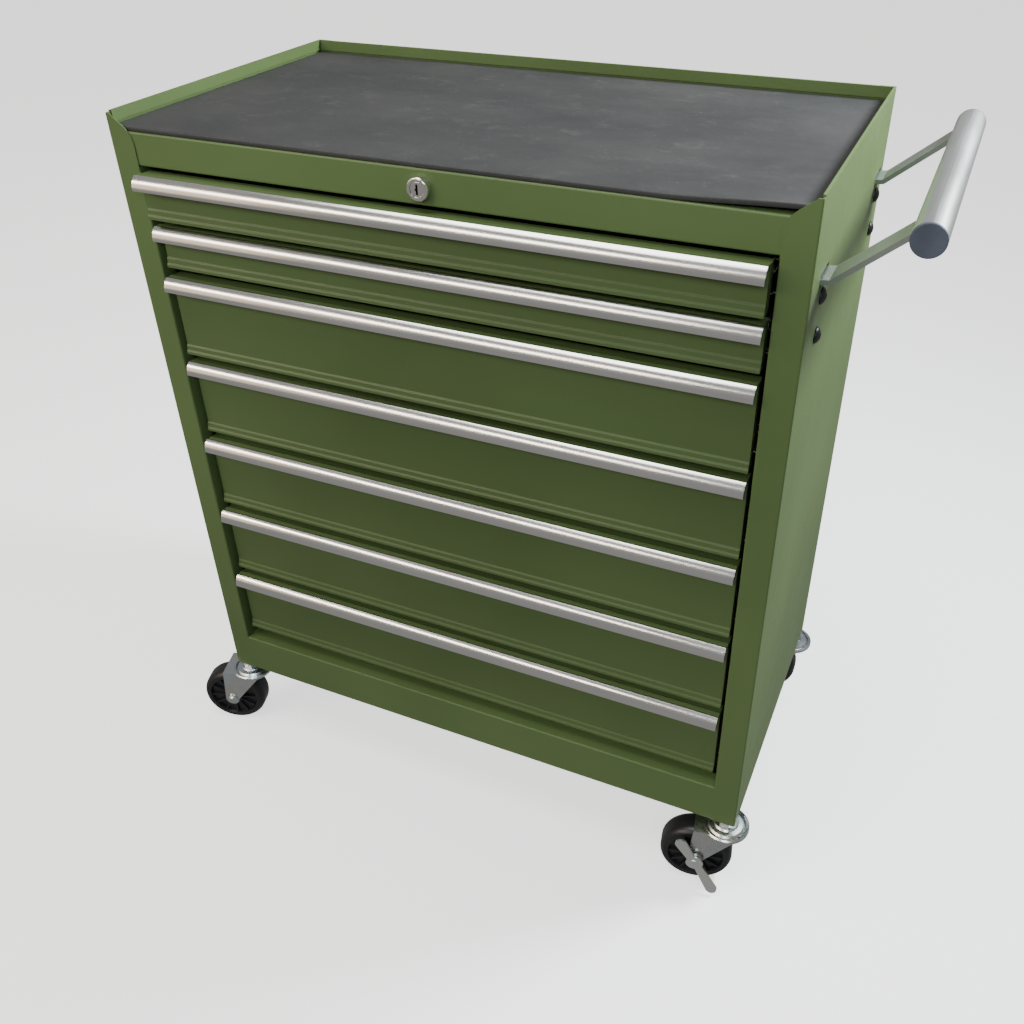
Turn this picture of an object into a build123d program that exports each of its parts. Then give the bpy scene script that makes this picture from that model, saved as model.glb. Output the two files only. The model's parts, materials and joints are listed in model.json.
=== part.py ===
from build123d import *
import os
from math import cos, sin, radians

# Rolling tool chest with seven drawers, a tray top, a side push handle and four swivel casters.
# Millimetres. +Z up, the drawers open towards -Y, the push handle is on the +X side.
# The origin lies on the floor, under the middle of the whole object's box.

# ---------------------------------------------------------------- cabinet
WIDTH = 616.0
DEPTH = 328.0
BODY_HEIGHT = 645.5
CASTER_HEIGHT = 92.5
SHEET = 1.0
BEND = 1.6
LEFT = -321.48                     # cabinet's left face, so that the whole box is centred on X
FRONT = -161.14                    # front face of the stiles, so that the whole box is centred on Y
RIGHT = LEFT + WIDTH
BACK = FRONT + DEPTH
BASE = CASTER_HEIGHT               # underside of the cabinet
RIM = BASE + BODY_HEIGHT           # top of the tray's rim
MID_X = LEFT + WIDTH / 2
STILE = 25.0                       # front flange of each side panel
STILE_RETURN = 16.0
STILE_CURVE = -12.1                # where the stile's curved top starts, from the tray's face
BACK_FLANGE = 15.0
HEM = 10.0
POST_SHEET = 1.2
POST_PLACES = (FRONT + 96.0, FRONT + 246.0)
PLATE_REACH = 46.0                 # caster plate beyond the swivel axis
PLATE_MARGIN = 8.5
PLATE_THICK = 3.0
STEM_HOLE = 5.4
RAIL_TOP = BASE + 48.0             # top edge of the bottom rail
FASCIA_LOW = BASE + 601.0          # bottom edge of the fascia
TRAY = BASE + 630.0                # upper face of the tray's floor
MAT_THICK = 4.0
SEAT = 0.05                        # gap of a part that only rests against its neighbour

# ---------------------------------------------------------------- drawers
SMALL_PITCH = 49.0
LARGE_PITCH = 89.0
LOWEST_TOP = BASE + 143.8          # top of the lowest drawer's pull
FRONT_GAP = 7.6                    # between a pull and the lip above it
PITCHES = [SMALL_PITCH, SMALL_PITCH] + [LARGE_PITCH] * 5
OPENED = [14.0, 4.0, 4.0, 0.0, 0.0, 0.0, 0.0]      # how far each drawer stands open at rest
FACE = 9.0                         # drawer face, behind the stiles
SIDE_GAP = 4.7
PULL_HEIGHT = 12.5
BOX_INSET = 38.0                   # cabinet side to drawer box
BOX_DEPTH = 290.0
BOX_LIFT = 4.0                     # box floor above the lip
BOX_DROP = 11.0                    # box walls below the pull's top
TRAVEL = 210.0
FRONT_FOLD = 12.0                  # depth of the front's folded ends and top

# ---------------------------------------------------------------- ball slides
SLIDE_LENGTH = 280.0
SLIDE_START = 28.0                 # front of a slide, from the stile's face
SLIDE_HALF = 13.5                  # half the height of the outer rail
SLIDE_WALL = 1.2
SLIDE_LIFT = 15.0                  # slide's middle above the box floor
RUNNER_HALF = 8.7
BALL_RADIUS = 1.5
BALL_LEVEL = 10.5
CAGE_LENGTH = 70.0
BALL_PITCH = 15.0
BALLS = 5

# ---------------------------------------------------------------- push handle
TUBE_RADIUS = 12.5
TUBE_OUT = 68.5                    # tube's axis from the side panel
TUBE_LEVEL = BASE + 620.0
TUBE_START = FRONT + 17.0
TUBE_LENGTH = 308.0
TUBE_WALL = 1.2
ARM_WIDTH = 30.0
ARM_THICK = 4.0
ARM_PLACES = [FRONT + 48.0, FRONT + 296.0]
ARM_LEVEL = BASE + 575.0
SCREW_LEVELS = [BASE + 557.0, BASE + 525.0]
SCREW_HEAD = 6.6                   # radius of a screw's domed head
SCREW_DOME = 4.0

# ---------------------------------------------------------------- lock
LOCK_LEVEL = BASE + 615.4
LOCK_RADIUS = 9.8
PLUG_RADIUS = 6.24
PLUG_LENGTH = 25.0
NUT_ACROSS = 12.5                  # lock nut's radius over its corners
CRANK = 8.0
CRANK_START = 225.0
PIN_RADIUS = 2.0
BAR_BACK = FRONT + 313.0
BAR_THICK = 1.5
BAR_STEM = 10.0                    # width of the bar below its slotted head
BAR_LEFT = MID_X - 14.0
BAR_RIGHT = MID_X + 6.0
CATCH_LIFT = 22.0                  # drawer's catch plate above its box floor
CATCH_LENGTH = 21.0
CATCH_SLOT = (7.5, 18.2)           # slot's ends, from the drawer box's rear wall
CATCH_SHEET = 1.5
SHAFT_RADIUS = 4.5
DISC_RADIUS = 12.0                 # drive disc that carries the crank pin
DISC_THICK = 4.0
FINGER = 4.8                       # width of the bar's fingers
CLIP_LEVELS = (BASE + 120.0, BASE + 472.0)
LOCK_RISE = 2 * CRANK * sin(radians(45))

# ---------------------------------------------------------------- casters
INSET_X = 10.7
INSET_Y = 11.7
WHEEL_RADIUS = 37.5
WHEEL_WIDTH = 27.0
TRAIL = 27.3
RACE_RADIUS = 24.0
LEG_GAP = 15.5                     # inner face of a fork leg from the wheel's middle
LEG_THICK = 2.5
DECK_RISE = 3.0                    # flat of the deck above the ring's dish
DECK_START = 8.0
DECK_END = 31.5                    # deck's rear edge, from the swivel axis
AXLE_RADIUS = 5.0
RUN_GAP = 0.06
RIBS = 12
LEVER_OFFSET = 3.95                # lever's inner face from the leg's outer face
LEVER_HUB = 9.0
LEVER_THICK = 1.8
BRAKE_LOBES = (                    # angle (downwards positive), reach and outward flare
    (-60.0, 37.0, 0.0),
    (126.0, 41.0, 15.0),
)
LOBE_RADIUS = 6.2
LOBE_ROOT = 8.0                    # a lobe's start, from the axle
LOBE_WAIST = 4.4                   # half the lever's width beside its hub
CASTERS = {                        # swivel position, and where the wheel trails at rest
    "front_left": (LEFT + INSET_X, FRONT + INSET_Y, 197.0),
    "front_right": (RIGHT - INSET_X, FRONT + INSET_Y, 191.0),
    "rear_left": (LEFT + INSET_X, BACK - INSET_Y, 168.0),
    "rear_right": (RIGHT - INSET_X, BACK - INSET_Y, 183.0),
}
BRAKED = ("front_right", "rear_right")

os.makedirs("parts", exist_ok=True)


def save(piece, label):
    """Label a finished piece and write its STEP."""
    piece.part.label = label
    export_step(piece.part, f"parts/{label}.step")


def block(x_span, y_span, z_span, mode=Mode.ADD):
    """A block between two values on each axis."""
    centre = [(span[0] + span[1]) / 2 for span in (x_span, y_span, z_span)]
    sizes = [span[1] - span[0] for span in (x_span, y_span, z_span)]
    with Locations(tuple(centre)):
        Box(*sizes, mode=mode)


def rod(start, direction, radius, length, mode=Mode.ADD):
    """A round bar from a point along a direction."""
    with Locations(Plane(origin=start, z_dir=direction)):
        Cylinder(radius, length, align=(Align.CENTER, Align.CENTER, Align.MIN), mode=mode)


def sheet(plane, points, length, side, thickness=SHEET, bend=BEND):
    """A folded sheet: its outer line in a plane, given a thickness on one side, drawn out."""
    with BuildSketch(plane) as section:
        with BuildLine():
            FilletPolyline(*points, radius=bend)
            offset(amount=thickness, side=side)
        make_face()
    extrude(section.sketch, amount=length)


def section_plane(x):
    """A plane across X whose own axes are the object's Y and Z."""
    return Plane(origin=(x, 0, 0), x_dir=(0, 1, 0), z_dir=(1, 0, 0))


# ================================================================ cabinet


def side_panel(edge, inward, label):
    """A side with its front stile, the stile's return, a rear flange and a hemmed rim."""
    side = Side.RIGHT if inward > 0 else Side.LEFT
    inner = edge + inward * STILE
    with BuildPart() as panel:
        points = [
            (inner, FRONT + STILE_RETURN),
            (inner, FRONT),
            (edge, FRONT),
            (edge, BACK),
            (edge + inward * BACK_FLANGE, BACK),
        ]
        sheet(Plane.XY.offset(BASE), points, BODY_HEIGHT, side)
        hem_out = edge + inward * SHEET
        hem_in = edge + inward * 2.4 * SHEET
        hem_span = sorted((hem_out, hem_in))
        block(hem_span, (FRONT + 6, BACK - 3 * SHEET), (RIM - HEM, RIM))
        # The return stops at the opening's corners, and the stile runs on flat beside the rails.
        return_span = sorted((inner + inward * 0.5, inner - inward * (SHEET + 2)))
        flat_span = sorted((inner, inner - inward * (BEND + 1)))
        back_span = (FRONT + SHEET, FRONT + STILE_RETURN + 1)
        for low, high in ((FASCIA_LOW - 1, RIM), (BASE, RAIL_TOP)):
            block(return_span, back_span, (low, high), Mode.SUBTRACT)
            block(flat_span, (FRONT, FRONT + SHEET), (low, high))
        # The stile's top curves from its inner edge into a slope up to the corner of the rim.
        with BuildSketch(Plane.XZ.offset(-FRONT - 5)):
            with BuildLine():
                curve_low = (edge + inward * STILE, TRAY + STILE_CURVE)
                curve_high = (edge + inward * 17.1, TRAY + 4.1)
                ThreePointArc(curve_low, (edge + inward * 22.93, TRAY - 3.1), curve_high)
                Polyline(
                    curve_high,
                    (edge + inward * 4, RIM - 1.2),
                    (edge - inward * 1, RIM - 1.2),
                    (edge - inward * 1, RIM + 1),
                    (edge + inward * (STILE + 1), RIM + 1),
                    (edge + inward * (STILE + 1), TRAY + STILE_CURVE),
                    curve_low,
                )
            make_face()
        extrude(amount=10, mode=Mode.SUBTRACT)
        if inward < 0:
            handle_cuts(edge)
    save(panel, label)


def handle_cuts(edge):
    """The handle's slots and screw holes, in a side panel."""
    for place in ARM_PLACES:
        arm_span = (place - ARM_WIDTH / 2 - 0.5, place + ARM_WIDTH / 2 + 0.5)
        block((edge - 3, edge + 1), arm_span, (ARM_LEVEL - 7.6, ARM_LEVEL + 3.4), Mode.SUBTRACT)
        for level in SCREW_LEVELS:
            rod((edge - 3, place, level), (1, 0, 0), 3.3, 5, Mode.SUBTRACT)


side_panel(LEFT, 1, "side_panel_left")
side_panel(RIGHT, -1, "side_panel_right")

with BuildPart() as back_panel:
    back_y = BACK - SHEET
    x_span = (LEFT + BEND + SEAT, RIGHT - BEND - SEAT)
    block(x_span, (back_y - SHEET, back_y), (BASE + 2, RIM))
    block((LEFT + 4, RIGHT - 4), (back_y - 2.4 * SHEET, back_y - SHEET), (RIM - HEM, RIM))
    for bead_x in (MID_X - 190, MID_X, MID_X + 190):
        bead = (bead_x - 70, bead_x + 70)
        block(bead, (back_y, back_y + 0.8), (BASE + 120, BASE + 520))
        block((bead[0] + 2, bead[1] - 2), (back_y - 1.2, back_y - 0.4), (BASE + 122, BASE + 518),
              Mode.SUBTRACT)
save(back_panel, "back_panel")

with BuildPart() as top_tray:
    rail_face = FRONT + SHEET + SEAT
    tray_back = BACK - 2 * SHEET - SEAT
    points = [
        (rail_face + 14, FASCIA_LOW),
        (rail_face, FASCIA_LOW),
        (rail_face, TRAY),
        (tray_back, TRAY),
        (tray_back, TRAY - 14),
    ]
    across = WIDTH - 2 * BEND - 2 * SEAT
    sheet(section_plane(LEFT + BEND + SEAT), points, across, Side.RIGHT)
    rod((MID_X, FRONT - 2, LOCK_LEVEL), (0, 1, 0), 8.2, 8, Mode.SUBTRACT)
save(top_tray, "top_tray")

with BuildPart() as bottom_rail:
    points = [
        (FRONT + 20, RAIL_TOP - 5),
        (FRONT + 20, RAIL_TOP),
        (FRONT, RAIL_TOP),
        (FRONT, BASE),
        (FRONT + 28, BASE),
    ]
    across = WIDTH - 2 * STILE - 2 * SEAT
    sheet(section_plane(LEFT + STILE + SEAT), points, across, Side.LEFT)
save(bottom_rail, "bottom_rail")

with BuildPart() as floor_pan:
    pan_x = (LEFT + BEND + SEAT, RIGHT - BEND - SEAT)
    pan_y = (FRONT + BEND + SEAT, BACK - 2 * SHEET - SEAT)
    block(pan_x, pan_y, (BASE + SHEET + SEAT, BASE + 2 * SHEET + SEAT))
    for stem_x, stem_y, _ in CASTERS.values():
        rod((stem_x, stem_y, BASE), (0, 0, 1), STEM_HOLE, 5, Mode.SUBTRACT)
save(floor_pan, "floor_pan")

with BuildPart() as corner_plates:
    plate_low = BASE + 2 * SHEET + 2 * SEAT
    for stem_x, stem_y, _ in CASTERS.values():
        inward_x = 1 if stem_x < MID_X else -1
        inward_y = 1 if stem_y < 0 else -1
        plate_x = sorted((stem_x - inward_x * PLATE_MARGIN, stem_x + inward_x * PLATE_REACH))
        plate_y = sorted((stem_y - inward_y * PLATE_MARGIN, stem_y + inward_y * PLATE_REACH))
        block(plate_x, plate_y, (plate_low, plate_low + PLATE_THICK))
        rod((stem_x, stem_y, plate_low - 1), (0, 0, 1), STEM_HOLE, PLATE_THICK + 3, Mode.SUBTRACT)
save(corner_plates, "corner_plates")

# Four hat-section posts carry the slides, one pair on each side.
with BuildPart() as slide_posts:
    for edge, inward in ((LEFT, 1), (RIGHT, -1)):
        post_out = edge + inward * (SHEET + POST_SHEET + SEAT)
        post_in = edge + inward * (STILE - SEAT)
        side = Side.LEFT if inward > 0 else Side.RIGHT
        for post_y in POST_PLACES:
            points = [
                (post_out, post_y - 20),
                (post_out, post_y - 10),
                (post_in, post_y - 10),
                (post_in, post_y + 10),
                (post_out, post_y + 10),
                (post_out, post_y + 20),
            ]
            sheet(Plane.XY.offset(BASE + 8), points, BODY_HEIGHT - 40, side,
                  POST_SHEET, 1.4)
save(slide_posts, "slide_posts")

with BuildPart() as tray_mat:
    mat_x = (LEFT + 3.2, RIGHT - 3.2)
    mat_y = (FRONT + 2.5, BACK - 4.5)
    block(mat_x, mat_y, (TRAY, TRAY + MAT_THICK))
    fillet(tray_mat.edges().filter_by(Axis.Z), 6)
    fillet(tray_mat.faces().sort_by(Axis.Z)[-1].edges(), 1.2)
save(tray_mat, "tray_mat")

# ================================================================ drawers


def pull_profile(open_y, top):
    """The pull's section: a bowed face that leans out, and a hook round the drawer's flange."""
    with BuildLine() as outline:
        top_edge = (open_y + 1.5, top)
        low_edge = (open_y - 4.5, top - PULL_HEIGHT)
        ThreePointArc(top_edge, (open_y - 3.0, top - 5.0), low_edge)
        Polyline(
            low_edge,
            (open_y - 3.2, top - PULL_HEIGHT - 0.4),
            (open_y - 2.2, top - PULL_HEIGHT + 1.4),
        )
        ThreePointArc(
            (open_y - 2.2, top - PULL_HEIGHT + 1.4),
            (open_y - 0.9, top - 6.6),
            (open_y + 0.9, top - 4.2),
        )
        Polyline(
            (open_y + 0.9, top - 4.2),
            (open_y + 8.6, top - 3.4),
            (open_y + 8.6, top - 2.4),
            (open_y + 2.9, top - 2.9),
            (open_y + 2.5, top),
            top_edge,
        )
    make_face(outline.edges())


def drawer(number, top, pitch, opened):
    """One drawer: folded steel body, aluminium pull, slide runners and their ball cages."""
    y = FRONT - opened
    low = top - pitch + FRONT_GAP
    floor = low + BOX_LIFT
    wall_top = top - BOX_DROP
    left = LEFT + BOX_INSET
    right = RIGHT - BOX_INSET
    rear = y + FACE + SHEET + BOX_DEPTH
    front_left = LEFT + STILE + SIDE_GAP
    front_right = RIGHT - STILE - SIDE_GAP
    face = y + FACE

    with BuildPart() as body:
        points = [
            (face - 6.0, top - 1.9),
            (face, top - 1.2),
            (face, low + 10.0),
            (face - 1.2, low + 8.2),
            (face - 1.6, low + 4.6),
            (face - 2.8, low + 2.8),
            (face - 2.8, low),
            (face + 8.0, low),
            (face + 8.0, floor + SHEET),
        ]
        sheet(section_plane(front_left), points, front_right - front_left, Side.LEFT, SHEET, 0.6)
        # folded ends of the front
        for end in ((front_left, front_left + SHEET), (front_right - SHEET, front_right)):
            block(end, (face + 0.3, face + FRONT_FOLD), (low + 0.5, top - 2.2))
        # folded top of the front, behind the pull
        block((front_left, front_right), (face + 0.3, face + FRONT_FOLD), (top - 2.4, top - 1.4))
        # box
        block((left, right), (face + SHEET / 2, rear), (floor, wall_top))
        block((left + SHEET, right - SHEET), (face + 2 * SHEET, rear - SHEET),
              (floor + SHEET, wall_top + 1), Mode.SUBTRACT)
        # catch plate for the lock bar
        plate_z = floor + CATCH_LIFT if pitch > SMALL_PITCH else floor + CATCH_LIFT / 2
        catch = (BAR_RIGHT + 3.5, BAR_RIGHT + 16)
        block(catch, (rear - 0.5, rear + CATCH_LENGTH), (plate_z, plate_z + CATCH_SHEET))
        slot = (catch[0] + 2.5, catch[1] - 2.5)
        # The slot is long enough for a drawer that is a few millimetres short of shut.
        slot_ends = (rear + CATCH_SLOT[0], rear + CATCH_SLOT[1])
        block(slot, slot_ends, (plate_z - 1, plate_z + 3), Mode.SUBTRACT)
        # rolled lips along the box sides
        block((left, left + 4), (face + 2 * SHEET, rear), (wall_top - SHEET, wall_top))
        block((right - 4, right), (face + 2 * SHEET, rear), (wall_top - SHEET, wall_top))
    save(body, f"drawer_{number}_body")

    with BuildPart() as pull:
        with BuildSketch(section_plane(front_left)):
            pull_profile(y, top)
        extrude(amount=front_right - front_left)
    save(pull, f"drawer_{number}_pull")

    level = floor + SLIDE_LIFT
    with BuildPart() as runners:
        for edge, inward in ((LEFT, 1), (RIGHT, -1)):
            web = edge + inward * (BOX_INSET - SEAT)
            tip = edge + inward * (BOX_INSET - 8.4)
            points = [
                (tip, level - RUNNER_HALF),
                (web, level - RUNNER_HALF),
                (web, level + RUNNER_HALF),
                (tip, level + RUNNER_HALF),
            ]
            runner_side = Side.LEFT if inward > 0 else Side.RIGHT
            sheet(Plane.XZ.offset(-(y + SLIDE_START)), points, -SLIDE_LENGTH, runner_side,
                  SLIDE_WALL, 1.3)
    save(runners, f"drawer_{number}_runners")

    cage_y = FRONT - opened / 2 + SLIDE_START + TRAVEL / 2
    with BuildPart() as cages:
        for edge, inward in ((LEFT, 1), (RIGHT, -1)):
            near = edge + inward * (STILE + SLIDE_WALL + 0.6)
            strip_end = edge + inward * (STILE + 7.4)
            ball_x = edge + inward * (STILE + 6.2)
            web_span = sorted((near, near + inward * 0.8))
            strip_span = sorted((near, strip_end))
            cage_span = (cage_y, cage_y + CAGE_LENGTH)
            block(web_span, cage_span, (level - BALL_LEVEL, level + BALL_LEVEL))
            for up in (-1, 1):
                ball_z = level + up * BALL_LEVEL
                block(strip_span, cage_span, (ball_z - 0.4, ball_z + 0.4))
                for index in range(BALLS):
                    ball_y = cage_y + 5 + index * BALL_PITCH
                    with Locations((ball_x, ball_y, ball_z)):
                        Sphere(BALL_RADIUS)
    save(cages, f"drawer_{number}_ball_cages")
    return level, plate_z


tops = [LOWEST_TOP]
for pitch in reversed(PITCHES[:-1]):
    tops.insert(0, tops[0] + pitch)
slide_levels = []
catch_levels = []
for number, (top, pitch, opened) in enumerate(zip(tops, PITCHES, OPENED), start=1):
    level, plate_z = drawer(number, top, pitch, opened)
    slide_levels.append(level)
    catch_levels.append(plate_z)

with BuildPart() as outer_rails:
    for edge, inward in ((LEFT, 1), (RIGHT, -1)):
        web = edge + inward * STILE
        tip = edge + inward * (STILE + 9.5)
        side = Side.RIGHT if inward > 0 else Side.LEFT
        for level in slide_levels:
            points = [
                (tip, level - SLIDE_HALF),
                (web, level - SLIDE_HALF),
                (web, level + SLIDE_HALF),
                (tip, level + SLIDE_HALF),
            ]
            sheet(Plane.XZ.offset(-(FRONT + SLIDE_START)), points, -SLIDE_LENGTH, side,
                  SLIDE_WALL, 1.6)
save(outer_rails, "outer_rails")

# ================================================================ push handle

with BuildPart() as handle_tube:
    tube_x = RIGHT + TUBE_OUT
    rod((tube_x, TUBE_START, TUBE_LEVEL), (0, 1, 0), TUBE_RADIUS, TUBE_LENGTH)
    rod((tube_x, TUBE_START - 1, TUBE_LEVEL), (0, 1, 0), TUBE_RADIUS - TUBE_WALL,
        TUBE_LENGTH + 2, Mode.SUBTRACT)
save(handle_tube, "handle_tube")

with BuildPart() as handle_end_caps:
    for end, outward in ((TUBE_START, -1), (TUBE_START + TUBE_LENGTH, 1)):
        rod((tube_x, end, TUBE_LEVEL), (0, outward, 0), TUBE_RADIUS, 2.2)
        rod((tube_x, end, TUBE_LEVEL), (0, -outward, 0), TUBE_RADIUS - TUBE_WALL - SEAT, 9)
    rims = handle_end_caps.edges().filter_by(GeomType.CIRCLE).sort_by(Axis.Y)
    fillet([rims[0], rims[-1]], 0.9)
save(handle_end_caps, "handle_end_caps")

# Each arm is a flat bar: down the inside of the side panel, out through its slot, and up
# to the tube on the line of the tube's axis.
with BuildPart() as handle_arms:
    inner_x = RIGHT - SHEET - SEAT
    slope = Vector(TUBE_OUT, TUBE_LEVEL - ARM_LEVEL - 4).normalized()
    bar_end = (tube_x - slope.X * (TUBE_RADIUS + 0.1), TUBE_LEVEL - slope.Y * (TUBE_RADIUS + 0.1))
    for place in ARM_PLACES:
        points = [
            (inner_x, SCREW_LEVELS[1] - 12),
            (inner_x, ARM_LEVEL - 4),
            (inner_x + 9, ARM_LEVEL - 3),
            bar_end,
        ]
        sheet(Plane.XZ.offset(-(place - ARM_WIDTH / 2)), points, -ARM_WIDTH, Side.LEFT,
              ARM_THICK, 3.0)
        for level in SCREW_LEVELS:
            rod((inner_x - 8, place, level), (1, 0, 0), 3.3, 12, Mode.SUBTRACT)
save(handle_arms, "handle_arms")

with BuildPart() as handle_screws:
    for place in ARM_PLACES:
        for level in SCREW_LEVELS:
            with BuildSketch(Plane(origin=(RIGHT + SEAT, place, level), x_dir=(0, 1, 0),
                                   z_dir=(0, 0, -1))):
                with BuildLine():
                    Polyline((SCREW_HEAD, 1.0), (SCREW_HEAD, 0), (0, 0), (0, SCREW_DOME))
                    ThreePointArc((0, SCREW_DOME), (SCREW_HEAD * 0.65, 0.78 * SCREW_DOME),
                                  (SCREW_HEAD, 1.0))
                make_face()
            revolve(axis=Axis((RIGHT + SEAT, place, level), (1, 0, 0)))
            with BuildSketch(Plane(origin=(RIGHT + SEAT + SCREW_DOME - 1.6, place, level),
                                   z_dir=(1, 0, 0))):
                RegularPolygon(2.6, 6)
            extrude(amount=2, mode=Mode.SUBTRACT)
            rod((RIGHT + 1, place, level), (-1, 0, 0), 3.0, 16.2)
            with BuildSketch(Plane(origin=(inner_x - ARM_THICK - SEAT, place, level),
                                   z_dir=(-1, 0, 0))):
                RegularPolygon(5.6, 6)
            extrude(amount=5.0)
save(handle_screws, "handle_screws")

# ================================================================ lock

with BuildPart() as lock_housing:
    lock_face = FRONT + SHEET + SEAT
    rod((MID_X, lock_face - SEAT, LOCK_LEVEL), (0, -1, 0), LOCK_RADIUS, 6.5)
    fillet(lock_housing.edges().filter_by(GeomType.CIRCLE).sort_by(Axis.Y)[0], 1.8)
    rod((MID_X, lock_face - SEAT, LOCK_LEVEL), (0, 1, 0), 8.0, 20)
    rod((MID_X, FRONT - 8, LOCK_LEVEL), (0, 1, 0), 6.3, 40, Mode.SUBTRACT)
    # its nut, behind the fascia
    with BuildSketch(Plane(origin=(MID_X, lock_face + SHEET + SEAT, LOCK_LEVEL), z_dir=(0, 1, 0))):
        RegularPolygon(NUT_ACROSS, 6)
        Circle(8.05, mode=Mode.SUBTRACT)
    extrude(amount=4.0)
save(lock_housing, "lock_housing")

with BuildPart() as lock_plug:
    plug_front = lock_face - SEAT - 6.0
    rod((MID_X, plug_front, LOCK_LEVEL), (0, 1, 0), PLUG_RADIUS, PLUG_LENGTH)
    fillet(lock_plug.edges().filter_by(GeomType.CIRCLE).sort_by(Axis.Y)[0], 0.6)
    # keyway
    block((MID_X - 0.9, MID_X + 0.9), (plug_front - 1, plug_front + 14),
          (LOCK_LEVEL - 4.2, LOCK_LEVEL + 4.2), Mode.SUBTRACT)
    block((MID_X - 1.7, MID_X + 0.2), (plug_front - 1, plug_front + 14),
          (LOCK_LEVEL - 1.2, LOCK_LEVEL + 0.6), Mode.SUBTRACT)
save(lock_plug, "lock_plug")

with BuildPart() as lock_shaft:
    shaft_start = plug_front + PLUG_LENGTH + SEAT
    disc_y = BAR_BACK - BAR_THICK - 1.0
    rod((MID_X, shaft_start, LOCK_LEVEL), (0, 1, 0), SHAFT_RADIUS, disc_y - shaft_start)
    turn = radians(CRANK_START)
    pin_x = MID_X + CRANK * cos(turn)
    pin_z = LOCK_LEVEL + CRANK * sin(turn)
    rod((MID_X, disc_y, LOCK_LEVEL), (0, -1, 0), DISC_RADIUS, DISC_THICK)
    rod((pin_x, disc_y - 1, pin_z), (0, 1, 0), PIN_RADIUS, 6)
save(lock_shaft, "lock_shaft")

# The bar's slotted head rides on the crank pin, and each finger rises into a drawer's catch.
with BuildPart() as lock_bar:
    bar_y = (BAR_BACK - BAR_THICK, BAR_BACK)
    slot_half = PIN_RADIUS + 0.7
    finger_drop = LOCK_RISE + 1.2
    head_low = pin_z - slot_half - 5
    block((BAR_LEFT, BAR_RIGHT), bar_y, (head_low, pin_z + slot_half + 3))
    block((BAR_RIGHT - BAR_STEM, BAR_RIGHT), bar_y, (catch_levels[-1] - 24, head_low))
    block((MID_X - CRANK - 4, MID_X - 2), (bar_y[0] - 1, bar_y[1] + 1),
          (pin_z - slot_half, pin_z + slot_half), Mode.SUBTRACT)
    finger_out = BAR_RIGHT + 12
    for plate_z in catch_levels:
        block((BAR_RIGHT - 1, finger_out), bar_y,
              (plate_z - finger_drop - 4, plate_z - finger_drop))
        block((finger_out - FINGER, finger_out), bar_y,
              (plate_z - finger_drop - 1, plate_z - 1.5))
save(lock_bar, "lock_bar")

# Two clips hold the bar to the back panel and let it slide.
with BuildPart() as lock_guides:
    for clip_z in CLIP_LEVELS:
        clip_y = BACK - 2 * SHEET - SEAT
        out_left = BAR_RIGHT - BAR_STEM - 3
        out_right = BAR_RIGHT + 3
        block((out_left - 12, out_right + 12), (clip_y - 1.2, clip_y), (clip_z, clip_z + 14))
        block((out_left - 1.2, out_right + 1.2), (bar_y[0] - 1.8, clip_y), (clip_z, clip_z + 14))
        block((out_left, out_right), (bar_y[0] - 0.6, clip_y - 1.2), (clip_z - 1, clip_z + 15),
              Mode.SUBTRACT)
save(lock_guides, "lock_guides")

# ================================================================ casters

RACE_TOP = BASE - 9.0
DECK = BASE - 14.5                 # top of the fork's deck

with BuildPart() as caster_stems:
    for stem_x, stem_y, _ in CASTERS.values():
        rod((stem_x, stem_y, DECK - 7), (0, 0, 1), AXLE_RADIUS, 38)
        rod((stem_x, stem_y, DECK - 7), (0, 0, 1), 8.5, 2.6)
        with BuildSketch(Plane(origin=(stem_x, stem_y, RACE_TOP + SEAT), z_dir=(0, 0, 1))):
            RegularPolygon(9.8, 6)
        extrude(amount=BASE - RACE_TOP - 2 * SEAT)
        with BuildSketch(Plane(origin=(stem_x, stem_y, BASE + 5.4), z_dir=(0, 0, 1))):
            RegularPolygon(9.2, 6)
        extrude(amount=8)
save(caster_stems, "caster_stems")

with BuildPart() as caster_upper_races:
    for stem_x, stem_y, _ in CASTERS.values():
        with BuildSketch(Plane(origin=(stem_x, stem_y, 0), x_dir=(1, 0, 0), z_dir=(0, -1, 0))):
            with BuildLine():
                Polyline(
                    (AXLE_RADIUS + SEAT, RACE_TOP),
                    (11.5, RACE_TOP),
                    (13.0, RACE_TOP - 1.4),
                    (17.5, RACE_TOP - 2.0),
                    (19.6, RACE_TOP - 4.2),
                    (18.4, RACE_TOP - 4.8),
                    (16.6, RACE_TOP - 3.6),
                    (12.4, RACE_TOP - 3.0),
                    (10.8, RACE_TOP - 1.6),
                    (AXLE_RADIUS + SEAT, RACE_TOP - 1.6),
                    close=True,
                )
            make_face()
        revolve(axis=Axis((stem_x, stem_y, 0), (0, 0, 1)))
save(caster_upper_races, "caster_upper_races")


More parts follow.
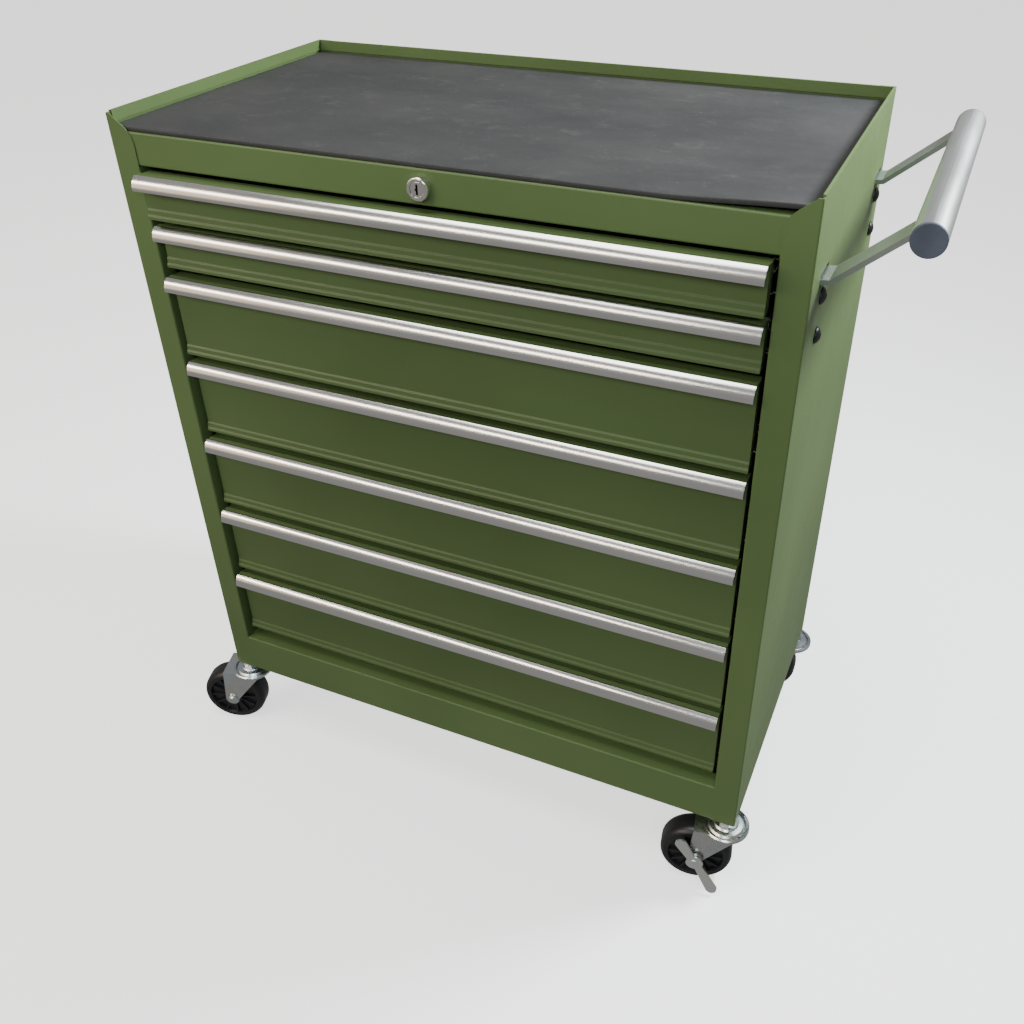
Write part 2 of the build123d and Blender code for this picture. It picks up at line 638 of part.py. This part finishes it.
def fork(name, stem_x, stem_y, trail_angle):
    """A pressed fork: ringed deck, two legs, and the riveted axle."""
    swivel = Plane(origin=(stem_x, stem_y, 0), x_dir=(cos(radians(trail_angle)),
                   sin(radians(trail_angle)), 0), z_dir=(0, 0, 1))
    legs = Plane(origin=(stem_x, stem_y, 0), x_dir=swivel.x_dir, z_dir=-swivel.y_dir)
    with BuildPart() as piece:
        with BuildSketch(Plane(origin=(stem_x, stem_y, 0), x_dir=(1, 0, 0), z_dir=(0, -1, 0))):
            with BuildLine():
                Polyline(
                    (9.2, DECK - 2.6),
                    (9.2, DECK),
                    (20.2, DECK),
                    (20.6, DECK + 2.6),
                    (22.6, DECK + 3.2),
                    (RACE_RADIUS, DECK + 1.8),
                    (RACE_RADIUS, DECK - 1.2),
                    (22.4, DECK - 2.6),
                    close=True,
                )
            make_face()
        revolve(axis=Axis((stem_x, stem_y, 0), (0, 0, 1)))
        # flat deck behind the ring
        deck = Plane(origin=(stem_x, stem_y, DECK + DECK_RISE), x_dir=swivel.x_dir, z_dir=(0, 0, -1))
        with BuildSketch(deck):
            with Locations(((DECK_START + DECK_END) / 2, 0)):
                Rectangle(DECK_END - DECK_START, 2 * (LEG_GAP + LEG_THICK))
            Circle(RACE_RADIUS - 1.1, mode=Mode.SUBTRACT)
        extrude(amount=LEG_THICK)
        for hand in (-1, 1):
            with BuildSketch(legs.offset(-hand * LEG_GAP)):
                leg_outline()
            extrude(amount=-hand * LEG_THICK)
            axle_hole = swivel.from_local_coords(Vector(TRAIL, hand * (LEG_GAP - 2), WHEEL_RADIUS))
            rod(axle_hole, hand * swivel.y_dir, AXLE_RADIUS + SEAT, LEG_THICK + 6, Mode.SUBTRACT)
        # riveted axle
        reach = LEG_GAP + LEG_THICK + SEAT
        start = swivel.from_local_coords(Vector(TRAIL, -reach, WHEEL_RADIUS))
        rod(start, swivel.y_dir, AXLE_RADIUS, 2 * reach)
        for hand in (-1, 1):
            head = swivel.from_local_coords(Vector(TRAIL, hand * reach, WHEEL_RADIUS))
            with Locations(Plane(origin=head, z_dir=hand * swivel.y_dir)):
                Cylinder(7.0, 1.2, align=(Align.CENTER, Align.CENTER, Align.MIN))
                with Locations((0, 0, 1.2)):
                    Cone(5.4, 3.2, 2.0, align=(Align.CENTER, Align.CENTER, Align.MIN))
    save(piece, f"caster_fork_{name}")
    return swivel


def leg_outline():
    """A leg's outline, from the deck's edge down to a round end at the axle."""
    with BuildLine() as outline:
        bottom = WHEEL_RADIUS
        Polyline(
            (-13.4, DECK - 0.6),
            (16, DECK - 0.6),
            (16, DECK + DECK_RISE),
            (DECK_END, DECK + DECK_RISE),
            (TRAIL + 8.2, bottom),
        )
        ThreePointArc((TRAIL + 8.2, bottom), (TRAIL, bottom - 8.4), (TRAIL - 8.4, bottom))
        Polyline(
            (TRAIL - 8.4, bottom),
            (-13.4, DECK - 0.6),
        )
    make_face(outline.edges())


def wheel(name, swivel):
    """A ribbed wheel with a rounded tread and a running bore."""
    with BuildPart() as piece:
        axle_point = swivel.from_local_coords(Vector(TRAIL, 0, WHEEL_RADIUS))
        across = Plane(origin=axle_point, x_dir=swivel.x_dir, z_dir=-swivel.y_dir)
        section = Plane(origin=axle_point, x_dir=swivel.x_dir, z_dir=swivel.z_dir)
        half = WHEEL_WIDTH / 2
        with BuildSketch(section):
            with BuildLine():
                Polyline((AXLE_RADIUS + RUN_GAP, half + 1), (10.5, half + 1), (11.5, half - 4),
                         (27.5, half - 4), (29, half), (33.5, half))
                ThreePointArc((33.5, half), (36.44, half - 3.53), (WHEEL_RADIUS, half - 8))
                Polyline((WHEEL_RADIUS, half - 8), (WHEEL_RADIUS, 8 - half))
                ThreePointArc((WHEEL_RADIUS, 8 - half), (36.44, 3.53 - half), (33.5, -half))
                Polyline((33.5, -half), (29, -half), (27.5, 4 - half), (11.5, 4 - half),
                         (10.5, -half - 1), (AXLE_RADIUS + RUN_GAP, -half - 1),
                         (AXLE_RADIUS + RUN_GAP, half + 1))
            make_face()
        revolve(axis=Axis(axle_point, swivel.y_dir))
        for hand in (-1, 1):
            with BuildSketch(across.offset(hand * (half - 4.5))):
                with PolarLocations(19.5, RIBS):
                    Rectangle(18, 1.8)
            extrude(amount=hand * 3.6)
    save(piece, f"caster_wheel_{name}")


def brake(name, swivel):
    """A two-lobed brake lever that turns on the axle, outside the fork's near leg."""
    lever_out = LEG_GAP + LEG_THICK + LEVER_OFFSET
    origin = swivel.from_local_coords(Vector(TRAIL, lever_out, WHEEL_RADIUS))
    lever = Plane(origin=origin, x_dir=swivel.x_dir, z_dir=swivel.y_dir)
    with BuildPart() as piece:
        with BuildSketch(lever):
            Circle(LEVER_HUB)
        extrude(amount=LEVER_THICK)
        for angle, reach, flare in BRAKE_LOBES:
            along = lever.x_dir * cos(radians(angle)) + lever.y_dir * sin(radians(angle))
            out = along * cos(radians(flare)) + lever.z_dir * sin(radians(flare))
            normal = along * -sin(radians(flare)) + lever.z_dir * cos(radians(flare))
            with BuildSketch(Plane(origin=origin + along * LOBE_ROOT, x_dir=out, z_dir=normal)):
                Circle(LOBE_WAIST)
                with Locations((reach - LOBE_ROOT - LOBE_RADIUS, 0)):
                    Circle(LOBE_RADIUS)
                make_hull()
            extrude(amount=LEVER_THICK)
        rod(origin, swivel.y_dir, 4.0, 2.4)
    save(piece, f"brake_lever_{name}")


for name, (stem_x, stem_y, trail_angle) in CASTERS.items():
    swivel = fork(name, stem_x, stem_y, trail_angle)
    wheel(name, swivel)
    if name in BRAKED:
        brake(name, swivel)
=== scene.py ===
import json
import math
import bpy
import bmesh
from mathutils import Euler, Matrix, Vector, noise


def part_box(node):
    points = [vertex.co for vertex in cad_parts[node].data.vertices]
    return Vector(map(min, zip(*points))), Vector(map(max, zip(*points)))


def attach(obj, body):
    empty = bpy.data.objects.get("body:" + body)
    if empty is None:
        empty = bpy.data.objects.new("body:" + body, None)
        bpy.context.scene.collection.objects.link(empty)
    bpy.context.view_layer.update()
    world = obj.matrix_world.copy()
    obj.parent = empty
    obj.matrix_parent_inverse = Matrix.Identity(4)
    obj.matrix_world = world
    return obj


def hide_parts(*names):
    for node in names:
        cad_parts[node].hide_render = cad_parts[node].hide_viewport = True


# Rolling tool chest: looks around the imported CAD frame. Metres, in the frame's own axes.
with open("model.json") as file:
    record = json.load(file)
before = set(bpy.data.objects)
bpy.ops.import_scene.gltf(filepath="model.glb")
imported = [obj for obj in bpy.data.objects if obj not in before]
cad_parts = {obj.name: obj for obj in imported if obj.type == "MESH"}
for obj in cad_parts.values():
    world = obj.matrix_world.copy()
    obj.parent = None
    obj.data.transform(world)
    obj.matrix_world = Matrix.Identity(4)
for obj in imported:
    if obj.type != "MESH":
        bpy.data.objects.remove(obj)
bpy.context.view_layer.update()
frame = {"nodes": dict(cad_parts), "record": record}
NODES = frame["nodes"]

MM = 0.001
PANEL_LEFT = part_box("side_panel_left")
PANEL_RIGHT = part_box("side_panel_right")
CORNER = Vector(PANEL_LEFT[0])
CABINET_WIDTH = PANEL_RIGHT[1][0] - PANEL_LEFT[0][0]
AIM_HEIGHT = 0.42
CABINET_MID = Vector((CORNER.x + CABINET_WIDTH / 2, (PANEL_LEFT[0][1] + PANEL_LEFT[1][1]) / 2, AIM_HEIGHT))

CAMERA_FROM_CORNER = (0.71799, -0.68799, 0.86976)
CAMERA_TURN_DEG = (55.5758, 0.7031, 23.7460)
LENS_MM = 36.235
SENSOR_MM = 36
SHIFT = (-0.0296, -0.01635)

FLOOR_REACH = 6.0
FLOOR_GLOW = 1.3
WORLD_COLOUR = (1, 0.99, 0.97, 1)
WORLD_STRENGTH = 0.27

MAT_COLUMNS = 150
MAT_ROWS = 80
CURL_LIFT = 4.5 * MM
CURL_LONG = 120 * MM
CURL_DEEP = 34 * MM
CURL_PULL = (-0.4 * MM, 0.5 * MM)
RIPPLE_HEIGHT = 0.2 * MM
RIPPLES_PER_METRE = 9
RIPPLE_SEED = 1.7
FLAT_BORDER = 4
MAT_ROUNDING = 0.7 * MM


# ---------------------------------------------------------------- camera, floor and light

def add_camera():
    """The viewing angle: to the right of the chest's front, looking down at it."""
    data = bpy.data.cameras.new("camera")
    camera = bpy.data.objects.new("camera", data)
    bpy.context.scene.collection.objects.link(camera)
    camera.location = CORNER + Vector(CAMERA_FROM_CORNER)
    camera.rotation_euler = Euler([math.radians(angle) for angle in CAMERA_TURN_DEG])
    data.sensor_width = SENSOR_MM
    data.lens = LENS_MM
    data.shift_x, data.shift_y = SHIFT
    data.clip_start = 0.05
    bpy.context.scene.camera = camera


def area_light(name, place, target, size, power, colour=(1, 1, 1), size_y=None):
    """A soft rectangular light that faces a point."""
    data = bpy.data.lights.new(name, "AREA")
    data.shape = "RECTANGLE"
    data.size = size
    data.size_y = size_y or size
    data.energy = power
    data.color = colour
    lamp = bpy.data.objects.new(name, data)
    lamp.location = place
    lamp.rotation_euler = (Vector(target) - Vector(place)).to_track_quat("-Z", "Y").to_euler()
    bpy.context.scene.collection.objects.link(lamp)


def add_floor():
    """A pale floor that isn't part of the chest. It lights nothing and shows in no reflection."""
    mesh = bpy.data.meshes.new("floor")
    reach = FLOOR_REACH
    mesh.from_pydata([(-reach, -reach, 0), (reach, -reach, 0), (reach, reach, 0), (-reach, reach, 0)],
                     [], [(0, 1, 2, 3)])
    floor = bpy.data.objects.new("floor", mesh)
    bpy.context.scene.collection.objects.link(floor)
    material = bpy.data.materials.new("floor_paper")
    material.use_nodes = True
    shader = material.node_tree.nodes["Principled BSDF"]
    shader.inputs["Base Color"].default_value = (0.86, 0.86, 0.85, 1)
    shader.inputs["Roughness"].default_value = 0.9
    shader.inputs["Emission Color"].default_value = (1, 1, 1, 1)
    shader.inputs["Emission Strength"].default_value = FLOOR_GLOW
    mesh.materials.append(material)
    floor.visible_glossy = False
    floor.visible_diffuse = False


def add_lights():
    """A dim white world and five soft lights: warm from the left, cool from the right."""
    world = bpy.data.worlds.new("studio")
    world.use_nodes = True
    background = world.node_tree.nodes["Background"]
    background.inputs["Color"].default_value = WORLD_COLOUR
    background.inputs["Strength"].default_value = WORLD_STRENGTH
    bpy.context.scene.world = world
    middle = CABINET_MID
    area_light("overhead", (-0.4, -0.5, 2.4), middle, size=1.1, power=24)
    area_light("front_strip", (-1.3, -2.0, 1.75), middle, size=2.0, power=26,
               colour=(1.0, 0.88, 0.74), size_y=0.4)
    area_light("right_high", (0.85, 0.4, 1.3), (-0.05, 0.05, 0.72), size=0.3, power=34,
               colour=(0.9, 0.97, 1.0))
    area_light("front_right", (0.75, -1.9, 1.8), middle, size=1.0, power=15,
               colour=(0.72, 0.88, 1.0), size_y=0.5)
    area_light("left_glow", (-1.7, -1.3, 1.0), middle, size=1.2, power=4,
               colour=(1.0, 0.76, 0.5), size_y=1.0)


# ---------------------------------------------------------------- material helpers

def new_material(name):
    """An empty node material: (material, nodes, links, shader)."""
    material = bpy.data.materials.new(name)
    material.use_nodes = True
    tree = material.node_tree
    return material, tree.nodes, tree.links, tree.nodes["Principled BSDF"]


def mapped(nodes, links, scale, rotation=(0, 0, 0)):
    """Object coordinates, scaled and turned."""
    coordinates = nodes.new("ShaderNodeTexCoord")
    mapping = nodes.new("ShaderNodeMapping")
    mapping.inputs["Scale"].default_value = scale
    mapping.inputs["Rotation"].default_value = rotation
    links.new(coordinates.outputs["Object"], mapping.inputs["Vector"])
    return mapping.outputs["Vector"]


def noise_value(nodes, links, scale, detail=4, rough=0.5, rotation=(0, 0, 0)):
    """Noise with its own scale on each axis, in features per metre."""
    texture = nodes.new("ShaderNodeTexNoise")
    texture.inputs["Scale"].default_value = 1
    texture.inputs["Detail"].default_value = detail
    texture.inputs["Roughness"].default_value = rough
    links.new(mapped(nodes, links, scale, rotation), texture.inputs["Vector"])
    return texture.outputs["Fac"]


def ramp(nodes, links, value, stops):
    """A colour ramp over a value: stops are (position, colour)."""
    node = nodes.new("ShaderNodeValToRGB")
    elements = node.color_ramp.elements
    while len(elements) < len(stops):
        elements.new(0.5)
    for element, (position, colour) in zip(elements, stops):
        element.position = position
        element.color = (*colour, 1)
    links.new(value, node.inputs["Fac"])
    return node.outputs["Color"]


def spread(nodes, links, value, low, high, start=0.3, end=0.7):
    """A value mapped from start..end to low..high."""
    node = nodes.new("ShaderNodeMapRange")
    node.inputs["From Min"].default_value = start
    node.inputs["From Max"].default_value = end
    node.inputs["To Min"].default_value = low
    node.inputs["To Max"].default_value = high
    links.new(value, node.inputs["Value"])
    return node.outputs["Result"]


def mix(nodes, links, kind, factor, first, second):
    """Two colours mixed; factor is a number or a socket."""
    node = nodes.new("ShaderNodeMix")
    node.data_type = "RGBA"
    node.blend_type = kind
    if isinstance(factor, (int, float)):
        node.inputs["Factor"].default_value = factor
    else:
        links.new(factor, node.inputs["Factor"])
    for socket, colour in ((6, first), (7, second)):
        if isinstance(colour, tuple):
            node.inputs[socket].default_value = (*colour, 1)
        else:
            links.new(colour, node.inputs[socket])
    return node.outputs[2]


def bump(nodes, links, shader, height, strength, distance):
    """A bump from a height, chained onto the one before it."""
    node = nodes.new("ShaderNodeBump")
    node.inputs["Strength"].default_value = strength
    node.inputs["Distance"].default_value = distance
    links.new(height, node.inputs["Height"])
    if shader.inputs["Normal"].is_linked:
        links.new(shader.inputs["Normal"].links[0].from_socket, node.inputs["Normal"])
    links.new(node.outputs["Normal"], shader.inputs["Normal"])


# ---------------------------------------------------------------- materials

def powder_coat(name, colour, roughness):
    """Satin powder coat: fine orange peel, faint dust and slow changes of shade."""
    material, nodes, links, shader = new_material(name)
    slow = noise_value(nodes, links, (3, 3, 3), 2)
    dust = noise_value(nodes, links, (32, 32, 32), 6, 0.65)
    light = tuple(min(1, c * 1.12 + 0.004) for c in colour)
    dark = tuple(c * 0.9 for c in colour)
    shade = ramp(nodes, links, slow, [(0.35, dark), (0.65, light)])
    dusty = tuple(c * 0.8 + 0.05 for c in colour)
    cover = spread(nodes, links, dust, 0.0, 0.1, 0.5, 0.8)
    links.new(mix(nodes, links, "MIX", cover, shade, dusty), shader.inputs["Base Color"])
    links.new(spread(nodes, links, dust, roughness - 0.03, roughness + 0.06),
              shader.inputs["Roughness"])
    shader.inputs["Specular IOR Level"].default_value = 0.3
    peel = noise_value(nodes, links, (700, 700, 700), 2)
    grain = noise_value(nodes, links, (3500, 3500, 3500), 1)
    bump(nodes, links, shader, peel, 0.12, 0.0002)
    bump(nodes, links, shader, grain, 0.06, 0.0001)
    return material


def brushed_metal(name, colour, roughness, along, strength=0.25, metallic=1.0):
    """Metal brushed along one axis: streaks in its shade, gloss and surface."""
    material, nodes, links, shader = new_material(name)
    scales = [1600, 1600, 1600]
    scales["XYZ".index(along)] = 3
    fine = noise_value(nodes, links, scales, 4, 0.6)
    scales = [90, 90, 90]
    scales["XYZ".index(along)] = 6
    broad = noise_value(nodes, links, scales, 3, 0.5)
    dark = tuple(c * 0.88 for c in colour)
    links.new(ramp(nodes, links, fine, [(0.3, dark), (0.7, colour)]), shader.inputs["Base Color"])
    shader.inputs["Metallic"].default_value = metallic
    links.new(spread(nodes, links, broad, roughness - 0.03, roughness + 0.05),
              shader.inputs["Roughness"])
    bump(nodes, links, shader, fine, strength, 0.0001)
    return material


def zinc(name, colour, roughness):
    """Bright zinc plate: cloudy gloss, faint yellow and blue tints, small pits."""
    material, nodes, links, shader = new_material(name)
    cloud = noise_value(nodes, links, (70, 70, 70), 5, 0.6)
    tint = noise_value(nodes, links, (28, 28, 28), 2)
    warm = (colour[0], colour[1] * 0.96, colour[2] * 0.86)
    cool = (colour[0] * 0.93, colour[1], colour[2] * 1.04)
    shade = ramp(nodes, links, tint, [(0.35, cool), (0.65, warm)])
    dull = tuple(c * 0.72 for c in colour)
    links.new(mix(nodes, links, "MIX", spread(nodes, links, cloud, 0.0, 0.5, 0.45, 0.75), shade, dull),
              shader.inputs["Base Color"])
    shader.inputs["Metallic"].default_value = 1.0
    links.new(spread(nodes, links, cloud, roughness - 0.05, roughness + 0.14),
              shader.inputs["Roughness"])
    bump(nodes, links, shader, noise_value(nodes, links, (900, 900, 900), 3), 0.08, 0.0001)
    return material


def polished(name, colour, roughness):
    """Polished plate with faint handling marks."""
    material, nodes, links, shader = new_material(name)
    marks = noise_value(nodes, links, (500, 500, 120), 6, 0.7)
    shader.inputs["Metallic"].default_value = 1.0
    dull = tuple(c * 0.86 for c in colour)
    links.new(ramp(nodes, links, marks, [(0.35, dull), (0.6, colour)]), shader.inputs["Base Color"])
    links.new(spread(nodes, links, marks, roughness, roughness + 0.09), shader.inputs["Roughness"])
    return material


def plastic(name, colour, roughness, grain=0.15):
    """Moulded plastic with a fine texture."""
    material, nodes, links, shader = new_material(name)
    slow = noise_value(nodes, links, (45, 45, 45), 4)
    light = tuple(c * 1.5 + 0.003 for c in colour)
    links.new(ramp(nodes, links, slow, [(0.35, colour), (0.75, light)]), shader.inputs["Base Color"])
    links.new(spread(nodes, links, slow, roughness - 0.05, roughness + 0.1),
              shader.inputs["Roughness"])
    bump(nodes, links, shader, noise_value(nodes, links, (2200, 2200, 2200), 2), grain, 0.0001)
    return material


def mat_rubber():
    """Dark grey mat: fine grain, wiped dust and faint scuffs."""
    material, nodes, links, shader = new_material("mat_rubber")
    smear = noise_value(nodes, links, (9, 13, 10), 6, 0.62, (0, 0, math.radians(-20)))
    scuff = noise_value(nodes, links, (22, 190, 60), 6, 0.75, (0, 0, math.radians(9)))
    base = ramp(nodes, links, smear, [(0.3, (0.028, 0.028, 0.029)), (0.7, (0.04, 0.039, 0.038))])
    worn = spread(nodes, links, scuff, 0.0, 0.22, 0.62, 0.8)
    scuffed = mix(nodes, links, "MIX", worn, base, (0.15, 0.15, 0.145))
    prints = noise_value(nodes, links, (30, 38, 30), 7, 0.8)
    dusty = spread(nodes, links, prints, 0.0, 0.3, 0.55, 0.74)
    dusted = mix(nodes, links, "MIX", dusty, scuffed, (0.115, 0.112, 0.105))
    specks = noise_value(nodes, links, (620, 620, 620), 2, 0.5)
    lint = spread(nodes, links, specks, 0.0, 0.5, 0.72, 0.78)
    links.new(mix(nodes, links, "MIX", lint, dusted, (0.3, 0.3, 0.28)), shader.inputs["Base Color"])
    links.new(spread(nodes, links, smear, 0.5, 0.66), shader.inputs["Roughness"])
    shader.inputs["Specular IOR Level"].default_value = 0.45
    bump(nodes, links, shader, noise_value(nodes, links, (1500, 1500, 1500), 3, 0.6), 0.3, 0.0003)
    return material


OLIVE = (0.098, 0.15, 0.05)
MATERIALS = {
    "olive_paint": powder_coat("olive_paint", OLIVE, 0.4),
    # drawer_paint is the same olive paint darkened to 0.86: painted shade for the recessed drawer fronts
    # in the shadow of the pulls, not a different paint colour.
    "drawer_paint": powder_coat("drawer_paint", tuple(c * 0.86 for c in OLIVE), 0.4),
    "mat_rubber": mat_rubber(),
    "pull_aluminium": brushed_metal("pull_aluminium", (0.84, 0.83, 0.81), 0.2, "X", 0.06),
    "slide_zinc": zinc("slide_zinc", (0.5, 0.52, 0.54), 0.34),
    "cage_steel": zinc("cage_steel", (0.5, 0.5, 0.5), 0.35),
    "tube_steel": brushed_metal("tube_steel", (0.92, 0.95, 0.93), 0.34, "Y", 0.5),
    "arm_steel": brushed_metal("arm_steel", (0.36, 0.39, 0.35), 0.42, "X", 0.15, 0.7),
    "cap_plastic": plastic("cap_plastic", (0.06, 0.068, 0.092), 0.42),
    "screw_black": plastic("screw_black", (0.008, 0.008, 0.009), 0.35),
    "lock_chrome": polished("lock_chrome", (0.86, 0.83, 0.8), 0.1),
    "caster_zinc": zinc("caster_zinc", (0.68, 0.7, 0.72), 0.24),
    "brake_zinc": zinc("brake_zinc", (0.92, 0.95, 0.97), 0.3),
    "wheel_plastic": plastic("wheel_plastic", (0.011, 0.011, 0.012), 0.34, 0.1),
}


def finish_nodes():
    """Every CAD node but the mat, which make_mat stands in for, gets the material of its slot."""
    for part in frame["record"]["subparts"]:
        if part["node"] == "tray_mat":
            continue
        material = MATERIALS[part["material_slot"]]
        mesh_object = NODES[part["node"]]
        if not mesh_object.material_slots:
            mesh_object.data.materials.append(material)
        for slot in mesh_object.material_slots:
            slot.material = material


def make_mat():
    """The tray's mat: a rubber sheet laid flat, with its front right corner curled up."""
    low, high = (Vector(corner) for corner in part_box("tray_mat"))
    columns, rows = MAT_COLUMNS, MAT_ROWS
    bm = bmesh.new()
    grids = []
    for level in (low.z, high.z):
        grid = []
        for row in range(rows + 1):
            line = []
            for column in range(columns + 1):
                x = low.x + (high.x - low.x) * column / columns
                y = low.y + (high.y - low.y) * row / rows
                along = max(0.0, 1 - (high.x - x) / CURL_LONG)
                inward = max(0.0, 1 - (y - low.y) / CURL_DEEP)
                curl = along * along * (3 - 2 * along) * inward * inward
                z = level + CURL_LIFT * curl
                if level > low.z:
                    to_edge = min(column, columns - column, row, rows - row)
                    place = Vector((x * RIPPLES_PER_METRE, y * RIPPLES_PER_METRE, RIPPLE_SEED))
                    z += RIPPLE_HEIGHT * noise.noise(place) * min(1.0, to_edge / FLAT_BORDER)
                line.append(bm.verts.new((x + CURL_PULL[0] * curl, y + CURL_PULL[1] * curl, z)))
            grid.append(line)
        grids.append(grid)
    under, over = grids
    for row in range(rows):
        for column in range(columns):
            near, far = row, row + 1
            left, right = column, column + 1
            bm.faces.new((over[near][left], over[near][right], over[far][right], over[far][left]))
            bm.faces.new((under[near][left], under[far][left], under[far][right],
                          under[near][right]))
    for column in range(columns):
        for row, turned in ((0, False), (rows, True)):
            quad = (under[row][column], under[row][column + 1], over[row][column + 1],
                    over[row][column])
            bm.faces.new(tuple(reversed(quad)) if turned else quad)
    for row in range(rows):
        for column, turned in ((0, True), (columns, False)):
            quad = (under[row][column], under[row + 1][column], over[row + 1][column],
                    over[row][column])
            bm.faces.new(tuple(reversed(quad)) if turned else quad)
    for face in bm.faces:
        face.smooth = True
    mesh = bpy.data.meshes.new("rubber_mat")
    bm.to_mesh(mesh)
    bm.free()
    mat = bpy.data.objects.new("rubber_mat", mesh)
    bpy.context.scene.collection.objects.link(mat)
    rounding = mat.modifiers.new("rounded_edge", "BEVEL")
    rounding.width = MAT_ROUNDING
    rounding.segments = 2
    rounding.limit_method = "ANGLE"
    mesh.materials.append(MATERIALS["mat_rubber"])
    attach(mat, "cabinet")
    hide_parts("tray_mat")


add_camera()
add_floor()
add_lights()
finish_nodes()
make_mat()
